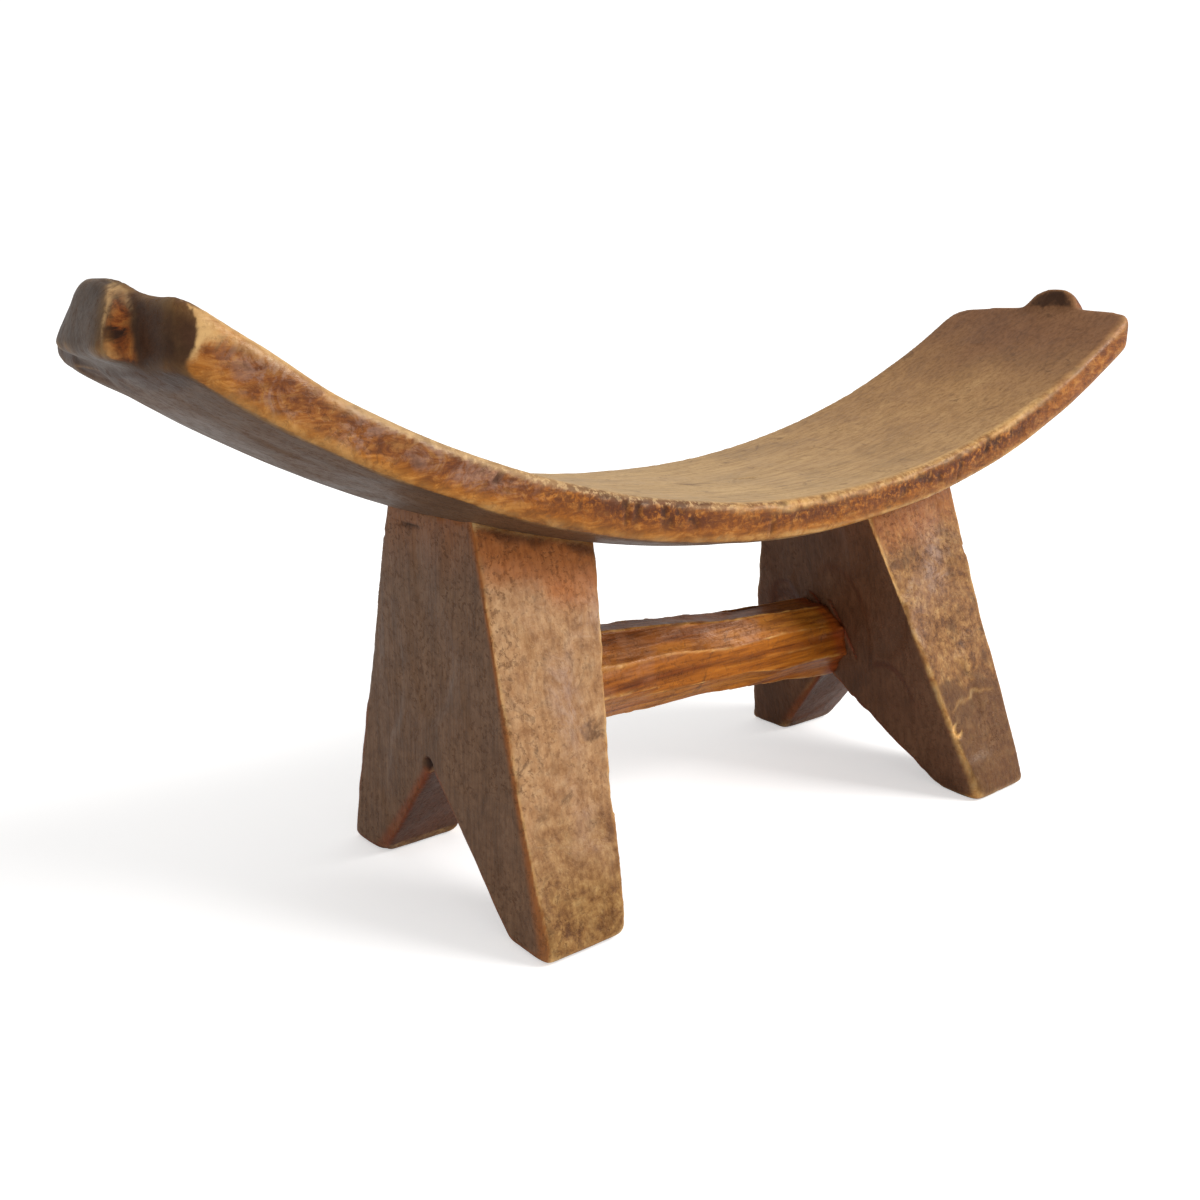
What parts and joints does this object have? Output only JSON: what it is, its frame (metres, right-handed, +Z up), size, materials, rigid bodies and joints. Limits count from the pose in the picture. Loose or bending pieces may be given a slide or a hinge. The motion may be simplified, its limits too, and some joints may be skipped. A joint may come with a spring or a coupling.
{
  "type": "carved wooden headrest",
  "caption": "Saddle-shaped wooden neck rest on forked trestle legs tied by a hewn stretcher, with a blunt lug carved at each end.",
  "frame": {"origin": "on the floor plane, below the middle of the whole object's box", "axes": "+X along the plate to its right end, +Y to the back, +Z up; the feet stand on Z = 0"},
  "size_m": [0.4212, 0.1202, 0.1915],
  "materials": {
    "plate_wood": "satin, worn and hand-polished",
    "trestle_wood": "satin, dark patina",
    "stretcher_wood": "satin, honey-coloured, hewn"
  },
  "bodies": {
    "root": {"rest_plate": "plate_wood", "left_trestle": "trestle_wood", "right_trestle": "trestle_wood", "stretcher": "stretcher_wood"}
  },
  "joints": []
}
